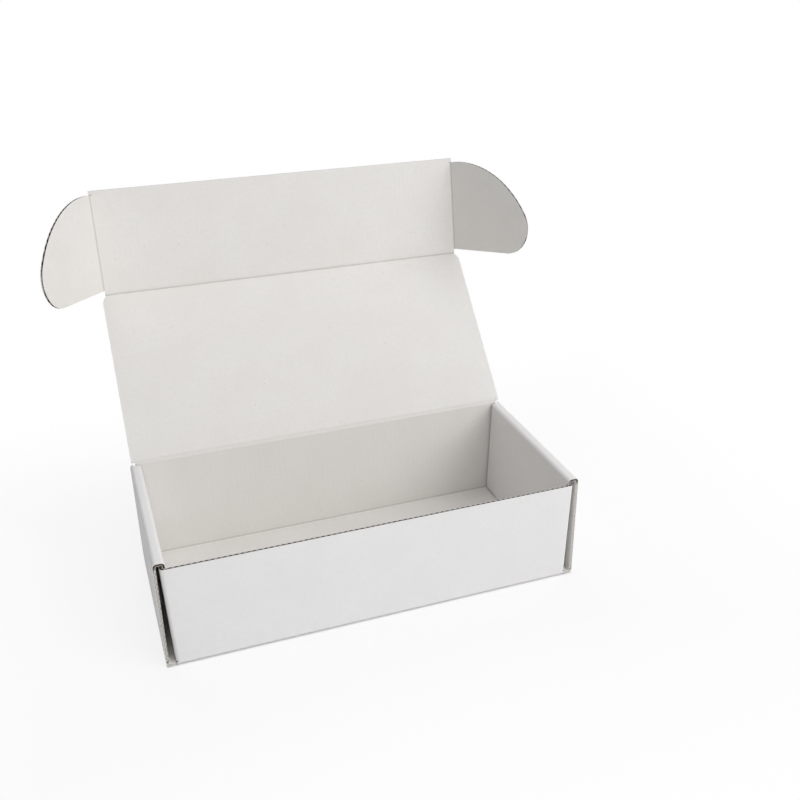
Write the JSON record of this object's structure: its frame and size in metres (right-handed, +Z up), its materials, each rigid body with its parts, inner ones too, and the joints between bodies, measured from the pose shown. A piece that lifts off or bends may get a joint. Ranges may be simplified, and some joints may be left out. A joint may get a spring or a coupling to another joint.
{
  "type": "gift box",
  "caption": "Open white corrugated gift box, folded from one blank: rolled side walls locked into the bottom, hinged lid, tuck flap with rounded ears.",
  "frame": {"origin": "middle of the tray's underside", "axes": "+X along the front to the viewer's right, +Y from the front wall to the back wall with the lid's hinge, +Z up"},
  "size_m": [0.3094, 0.2008, 0.2178],
  "materials": {
    "tray": "white coated liner, smooth matt",
    "lid": "white coated liner, smooth matt",
    "tuck_flap": "white coated liner, smooth matt",
    "left_ear": "white coated liner, smooth matt",
    "right_ear": "white coated liner, smooth matt"
  },
  "bodies": {
    "tray": {"tray": "tray"},
    "lid": {"lid": "lid"},
    "tuck_flap": {"tuck_flap": "tuck_flap"},
    "left_ear": {"left_ear": "left_ear"},
    "right_ear": {"right_ear": "right_ear"}
  },
  "joints": [
    {"name": "lid_hinge", "type": "hinge", "parent": "tray", "child": "lid", "pos_m": [0, 0.05575, 0.06895], "axis": [1, 0, 0], "range_deg": [-47, 133]},
    {"name": "tuck_hinge", "type": "hinge", "parent": "lid", "child": "tuck_flap", "pos_m": [0, 0.13316, 0.15196], "axis": [1, 0, 0], "range_deg": [-34, 56]},
    {"name": "left_ear_hinge", "type": "hinge", "parent": "tuck_flap", "child": "left_ear", "pos_m": [-0.1226, 0.13316, 0.15196], "axis": [0, 0.1564, 0.9877], "range_deg": [-59, 31]},
    {"name": "right_ear_hinge", "type": "hinge", "parent": "tuck_flap", "child": "right_ear", "pos_m": [0.1226, 0.13316, 0.15196], "axis": [0, -0.1564, -0.9877], "range_deg": [-65, 25]}
  ]
}
